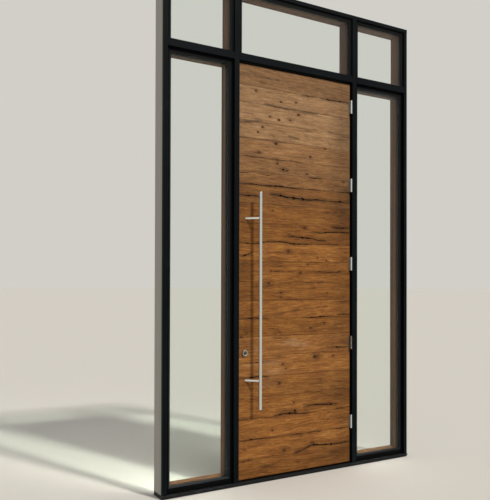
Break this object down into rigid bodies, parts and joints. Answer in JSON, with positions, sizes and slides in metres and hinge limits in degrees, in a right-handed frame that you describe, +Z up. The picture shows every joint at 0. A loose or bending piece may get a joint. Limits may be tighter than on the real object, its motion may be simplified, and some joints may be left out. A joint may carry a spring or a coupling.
{
  "type": "barnwood entrance door with sidelights and transom lights",
  "caption": "Tall glazed entrance unit in black frame: hinged slab faced with old horizontal barn boards, long offset pulls, sidelights and transom lights.",
  "frame": {"origin": "middle of the sill's underside, halfway through the frame's depth", "axes": "+X to the right seen from outside, +Y into the building, +Z up"},
  "size_m": [2.266, 0.232, 3.65],
  "materials": {
    "frame_black": "satin black paint",
    "bead_black": "satin black paint",
    "lining_wood": "oiled brown wood",
    "glass": "clear sealed unit",
    "spacer": "matt black",
    "sill_metal": "dark anodised, worn",
    "threshold_metal": "dark anodised",
    "seal_rubber": "matt",
    "hinge_steel": "satin",
    "pull_steel": "brushed along the bar",
    "lock_steel": "satin",
    "barn_boards": "old brushed boards with cracks and knots",
    "inside_boards": "old brushed boards",
    "core_wood": "sawn"
  },
  "bodies": {
    "frame": {"sill": "sill_metal", "left_jamb_cover": "frame_black", "right_jamb_cover": "frame_black", "left_mullion_cover": "frame_black", "right_mullion_cover": "frame_black", "head_cover": "frame_black", "transom_bar_covers": "frame_black", "left_sidelight_frame": "frame_black", "left_sidelight_lining": "lining_wood", "left_sidelight_bead": "bead_black", "left_sidelight_glass": "glass", "right_sidelight_frame": "frame_black", "right_sidelight_lining": "lining_wood", "right_sidelight_bead": "bead_black", "right_sidelight_glass": "glass", "left_transom_frame": "frame_black", "left_transom_lining": "lining_wood", "left_transom_bead": "bead_black", "left_transom_glass": "glass", "centre_transom_frame": "frame_black", "centre_transom_lining": "lining_wood", "centre_transom_bead": "bead_black", "centre_transom_glass": "glass", "right_transom_frame": "frame_black", "right_transom_lining": "lining_wood", "right_transom_bead": "bead_black", "right_transom_glass": "glass", "glass_spacers": "spacer", "door_frame": "frame_black", "door_stop": "lining_wood", "inner_threshold": "threshold_metal", "door_seal": "seal_rubber", "hinge_frame_leaves": "hinge_steel", "strike_plate": "lock_steel"},
    "door": {"outside_boards": "barn_boards", "door_core": "core_wood", "inside_boards": "inside_boards", "hinge_door_leaves": "hinge_steel", "outside_pull_bar": "pull_steel", "outside_pull_posts": "pull_steel", "inside_pull_bar": "pull_steel", "inside_pull_posts": "pull_steel", "outside_lock": "lock_steel", "inside_lock": "lock_steel", "lock_faceplate": "lock_steel", "bottom_sweep": "seal_rubber"}
  },
  "joints": [
    {"name": "door_swing", "type": "hinge", "parent": "frame", "child": "door", "pos_m": [0.5233, -0.064, 1.562], "axis": [0, 0, 1], "range_deg": [0, 105]}
  ]
}
